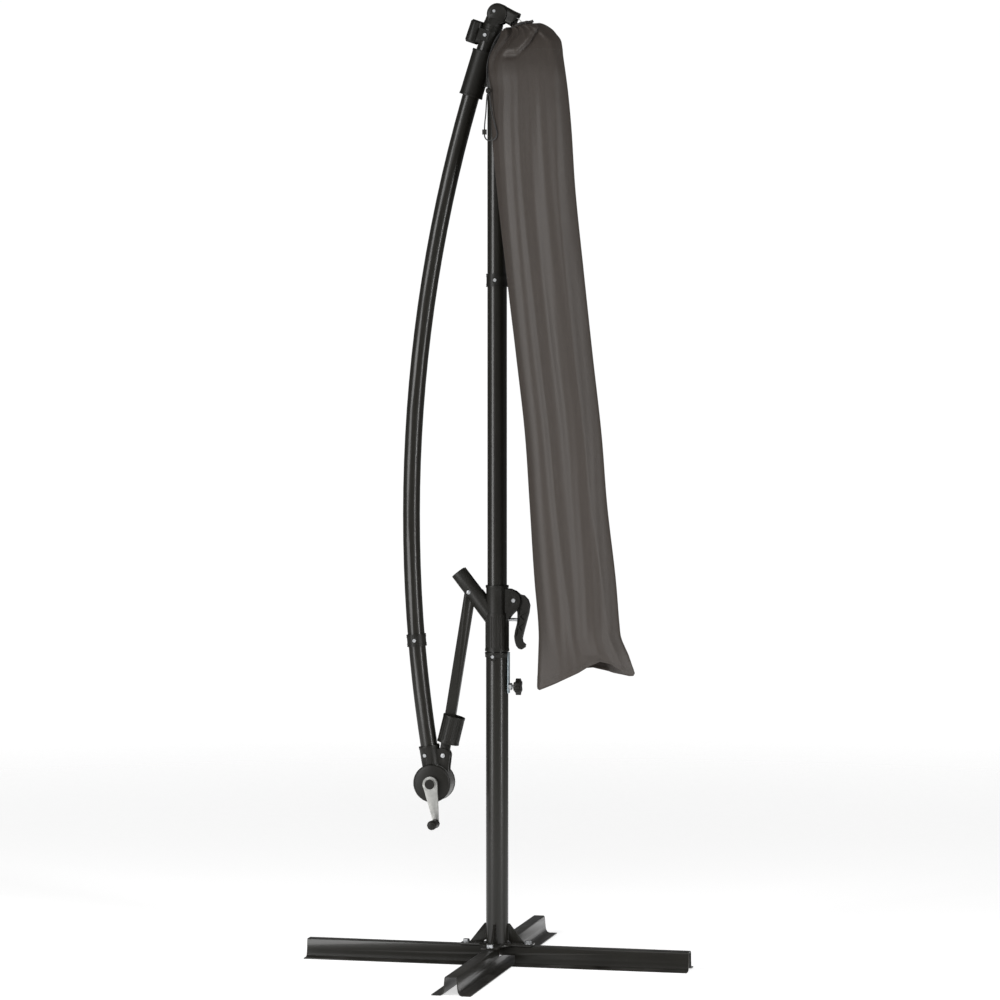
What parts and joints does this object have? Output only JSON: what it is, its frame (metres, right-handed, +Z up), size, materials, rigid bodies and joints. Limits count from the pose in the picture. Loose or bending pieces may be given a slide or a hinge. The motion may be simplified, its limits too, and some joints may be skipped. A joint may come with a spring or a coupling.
{
  "type": "cantilever parasol",
  "caption": "Folded cantilever parasol in its storage cover, on a crossed base, with a bent boom that slides through a guide at the mast top, a strut, a slider and a crank.",
  "frame": {"origin": "on the ground, on the axis of the mast", "axes": "+Z up along the mast; X along the long base bar, +X on the canopy side; Y across the plane of the boom"},
  "size_m": [0.964, 0.964, 2.354],
  "materials": {
    "powder_coat": "fine textured anthracite powder coat",
    "black_plastic": "moulded black plastic, light grain",
    "zinc": "bright zinc plate",
    "galvanised": "galvanised strip",
    "dark_plastic": "bearing plastic",
    "inner_steel": "plain dark steel",
    "cast_silver": "cast, lightly satin",
    "white_nylon": "nylon",
    "hoist_line": "braided line",
    "rib_steel": "grey coated steel",
    "canopy_cloth": "woven polyester",
    "cover_cloth": "dark taupe grey woven polyester",
    "black_cord": "braided black cord"
  },
  "bodies": {
    "base": {"base_bar_long": "powder_coat", "base_bar_cross": "powder_coat", "foot_plate": "powder_coat", "foot_gussets": "powder_coat", "foot_bolts": "zinc", "foot_nuts": "zinc", "lower_mast_tube": "powder_coat", "lower_mast_collar": "black_plastic", "collar_screw": "zinc", "mast_thrust_bush": "black_plastic", "clamp_strip": "galvanised", "clamp_nut": "zinc"},
    "knob": {"clamp_knob": "black_plastic", "clamp_stud": "zinc"},
    "mast": {"mast_tube_lower": "powder_coat", "mast_tube_upper": "powder_coat", "mast_coupler_insert": "inner_steel", "mast_coupler_ring": "black_plastic", "mast_coupler_screw": "zinc", "mast_top_fork": "black_plastic", "guide_pivot_pin": "zinc"},
    "slider": {"slider_housing": "black_plastic", "strut_pivot_screw": "zinc", "lever_pin": "zinc", "clamp_shoe": "dark_plastic", "lever_stop_rod": "zinc"},
    "lever": {"clamp_lever": "black_plastic"},
    "strut": {"strut_bar": "powder_coat", "strut_knuckle": "black_plastic"},
    "sleeve": {"locking_sleeve": "black_plastic"},
    "guide": {"guide_sleeve": "black_plastic", "guide_liner": "dark_plastic"},
    "boom": {"boom_tube_lower": "powder_coat", "boom_tube_upper": "powder_coat", "boom_coupler_insert": "inner_steel", "boom_coupler_ring": "black_plastic", "boom_coupler_screw": "zinc", "crank_housing": "black_plastic", "crank_front_cover": "black_plastic", "crank_back_cover": "black_plastic", "strut_end_bolt": "zinc", "stop_block": "black_plastic", "stop_block_screw": "zinc", "head_socket": "black_plastic", "head_bolt": "zinc", "hoist_cord": "hoist_line"},
    "crank": {"winding_drum": "cast_silver", "crank_arm": "cast_silver", "crank_hub_cap": "black_plastic"},
    "grip": {"crank_grip": "black_plastic"},
    "sheave": {"rope_sheave": "white_nylon"},
    "head": {"head_arm": "black_plastic"},
    "canopy": {"canopy_hub": "black_plastic", "canopy_pole": "rib_steel", "canopy_ribs": "rib_steel", "canopy_fabric": "canopy_cloth", "storage_cover": "cover_cloth", "drawstring": "black_cord", "drawstring_loop": "black_cord", "cord_lock": "black_plastic"}
  },
  "joints": [
    {"name": "knob_turn", "type": "hinge", "parent": "base", "child": "knob", "pos_m": [0.05, 0, 0.684], "axis": [1, 0, 0], "continuous": true},
    {"name": "mast_swivel", "type": "hinge", "parent": "base", "child": "mast", "pos_m": [0, 0, 0.8], "axis": [0, 0, 1], "continuous": true},
    {"name": "slider_travel", "type": "slide", "parent": "mast", "child": "slider", "axis": [0, 0, 1], "range_m": [0, 0.355]},
    {"name": "lever_open", "type": "hinge", "parent": "slider", "child": "lever", "pos_m": [0.0443, 0, 0.8966], "axis": [0, 1, 0], "range_deg": [-90, 0]},
    {"name": "strut_swing", "type": "hinge", "parent": "slider", "child": "strut", "pos_m": [-0.0677, 0, 0.9156], "axis": [0, 1, 0], "range_deg": [0, 12.1]},
    {"name": "sleeve_slide", "type": "slide", "parent": "strut", "child": "sleeve", "axis": [0.1625, 0, 0.9867], "range_m": [0, 0.24]},
    {"name": "guide_tilt", "type": "hinge", "parent": "mast", "child": "guide", "pos_m": [-0.008, 0, 2.1687], "axis": [0, 1, 0], "range_deg": [0, 1.84]},
    {"name": "boom_lift", "type": "hinge", "parent": "guide", "child": "boom", "pos_m": [3.383, 0, 1.098], "axis": [0, 1, 0], "range_deg": [0, 6]},
    {"name": "crank_turn", "type": "hinge", "parent": "boom", "child": "crank", "pos_m": [-0.1595, 0, 0.443], "axis": [0, 1, 0], "continuous": true},
    {"name": "grip_spin", "type": "hinge", "parent": "crank", "child": "grip", "pos_m": [-0.1445, -0.05, 0.347], "axis": [0, 1, 0], "continuous": true},
    {"name": "sheave_turn", "type": "hinge", "parent": "boom", "child": "sheave", "pos_m": [0.0035, 0, 2.328], "axis": [0, 1, 0], "continuous": true},
    {"name": "head_tilt", "type": "hinge", "parent": "boom", "child": "head", "pos_m": [0.0035, 0, 2.328], "axis": [0, 1, 0], "range_deg": [-45, 0]},
    {"name": "canopy_hang", "type": "hinge", "parent": "head", "child": "canopy", "pos_m": [0.042, 0, 2.303], "axis": [0, 1, 0], "range_deg": [-30, 0]}
  ],
  "couplings": [
    {"joint": "guide_tilt", "follows": "boom_lift", "ratio": 0.28932},
    {"joint": "slider_travel", "follows": "boom_lift", "m_per_rad": 3.38},
    {"joint": "strut_swing", "follows": "boom_lift", "ratio": 2},
    {"joint": "sheave_turn", "follows": "crank_turn", "ratio": 1.8}
  ]
}
